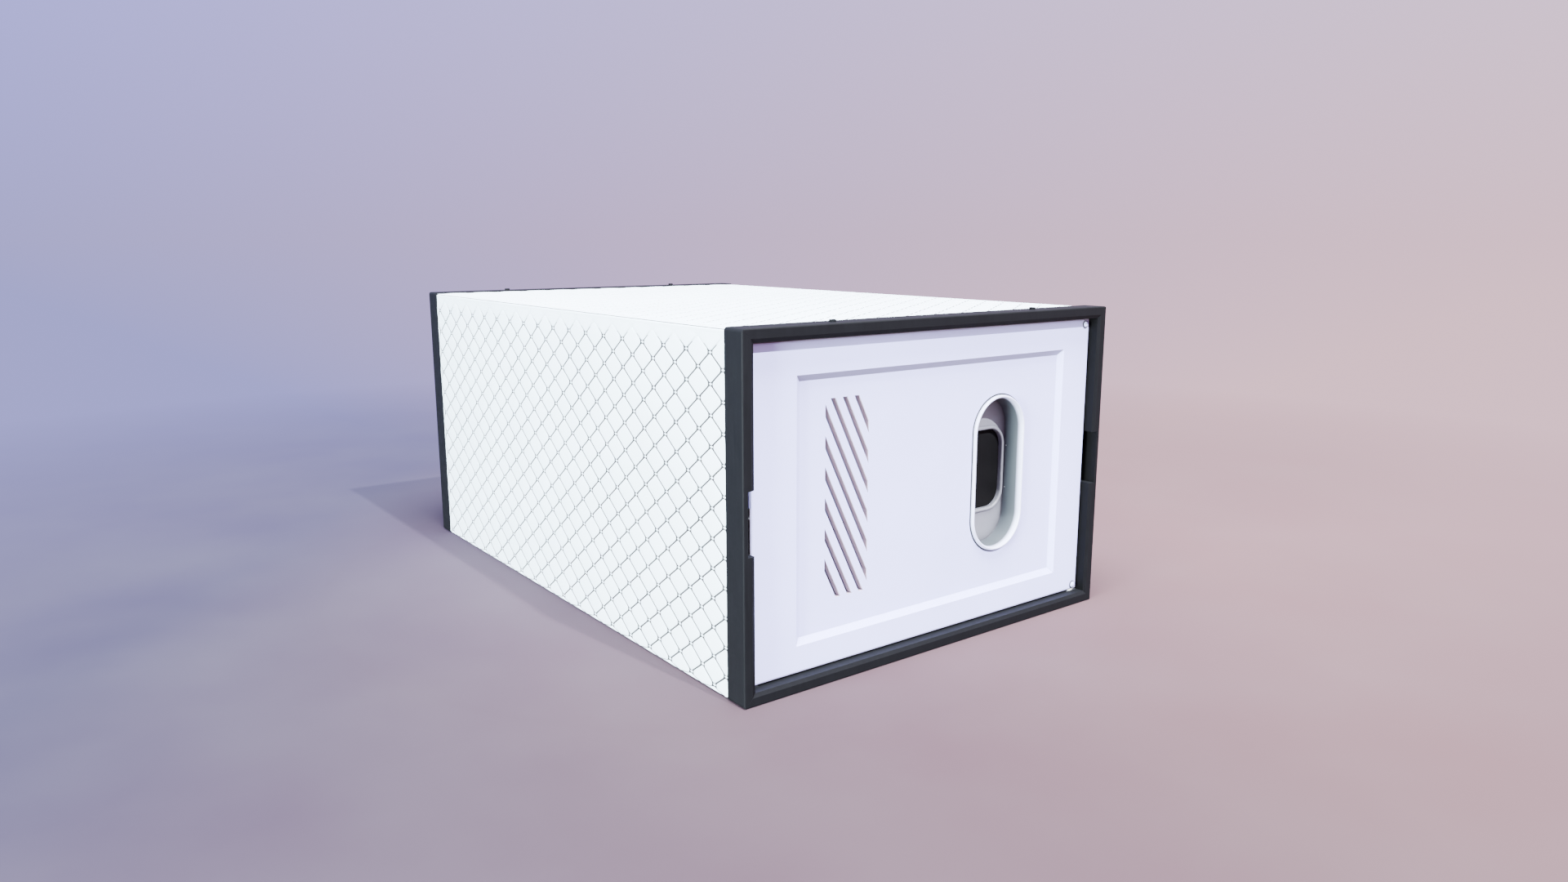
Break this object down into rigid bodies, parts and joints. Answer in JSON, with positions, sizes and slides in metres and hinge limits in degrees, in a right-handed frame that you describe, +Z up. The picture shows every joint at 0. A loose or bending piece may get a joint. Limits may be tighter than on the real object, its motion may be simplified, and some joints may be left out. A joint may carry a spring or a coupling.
{
  "type": "calf hutch",
  "caption": "Box-shaped calf hutch: dark ring frames hold a white quilted shell, a hinged front door with slanting vents and a flapped feed port, and a fixed rear panel.",
  "frame": {"origin": "on the ground, under the middle of the hutch", "axes": "+Z up, +Y from the front door towards the rear panel, +X to the right seen from the front"},
  "size_m": [1.592, 2.458, 1.1075],
  "materials": {
    "charcoal_plastic": "satin, dark grey moulded or extruded plastic",
    "charcoal_steel": "dark grey powder coat",
    "white_plastic": "clean white polyethylene with a soft sheen",
    "zinc_steel": "bright zinc plating",
    "matt_aluminium": "mill finish",
    "natural_nylon": "natural nylon",
    "black_rubber": "dark rubber sheet"
  },
  "bodies": {
    "hutch": {"front_left_post": "charcoal_plastic", "front_right_post": "charcoal_plastic", "front_top_rail": "charcoal_plastic", "front_bottom_rail": "charcoal_plastic", "front_corner_key_1": "matt_aluminium", "front_corner_key_2": "matt_aluminium", "front_corner_key_3": "matt_aluminium", "front_corner_key_4": "matt_aluminium", "front_roof_bolt_1": "charcoal_steel", "front_roof_bolt_2": "charcoal_steel", "rear_left_post": "charcoal_plastic", "rear_right_post": "charcoal_plastic", "rear_top_rail": "charcoal_plastic", "rear_bottom_rail": "charcoal_plastic", "rear_corner_key_1": "matt_aluminium", "rear_corner_key_2": "matt_aluminium", "rear_corner_key_3": "matt_aluminium", "rear_corner_key_4": "matt_aluminium", "rear_roof_bolt_1": "charcoal_steel", "rear_roof_bolt_2": "charcoal_steel", "left_wall": "white_plastic", "right_wall": "white_plastic", "roof_panel": "white_plastic", "left_eave_angle": "matt_aluminium", "right_eave_angle": "matt_aluminium", "rear_panel": "white_plastic", "rear_panel_bolt_1": "white_plastic", "rear_panel_bracket_1": "zinc_steel", "rear_panel_bolt_2": "white_plastic", "rear_panel_bracket_2": "zinc_steel", "rear_panel_bolt_3": "white_plastic", "rear_panel_bracket_3": "zinc_steel", "rear_panel_bolt_4": "white_plastic", "rear_panel_bracket_4": "zinc_steel", "upper_hinge_pivot": "zinc_steel", "lower_hinge_pivot": "zinc_steel", "hinge_thrust_washer": "natural_nylon", "upper_door_stop": "zinc_steel", "lower_door_stop": "zinc_steel", "flush_bolt_keeper": "zinc_steel"},
    "door": {"door_panel": "white_plastic", "upper_hinge_insert": "natural_nylon", "lower_hinge_insert": "natural_nylon", "upper_hinge_bolt": "white_plastic", "lower_hinge_bolt": "white_plastic", "flush_bolt_faceplate": "zinc_steel", "feed_collar": "white_plastic", "feed_collar_clamp_ring": "white_plastic", "feed_back_plate": "white_plastic", "flap_hinge_pin": "zinc_steel", "back_plate_screw_1": "zinc_steel", "back_plate_screw_2": "zinc_steel", "back_plate_screw_3": "zinc_steel", "back_plate_screw_4": "zinc_steel"},
    "flap": {"feed_flap": "black_rubber"},
    "latch": {"flush_bolt_rod": "zinc_steel"}
  },
  "joints": [
    {"name": "door_hinge", "type": "hinge", "parent": "hutch", "child": "door", "pos_m": [0.728, -1.178, 0.55], "axis": [0, 0, 1], "range_deg": [0, 100]},
    {"name": "feed_flap_hinge", "type": "hinge", "parent": "door", "child": "flap", "pos_m": [0.305, -1.0937, 0.711], "axis": [1, 0, 0], "range_deg": [0, 75]},
    {"name": "flush_bolt_slide", "type": "slide", "parent": "door", "child": "latch", "axis": [0, 0, 1], "range_m": [-0.028, 0]}
  ]
}
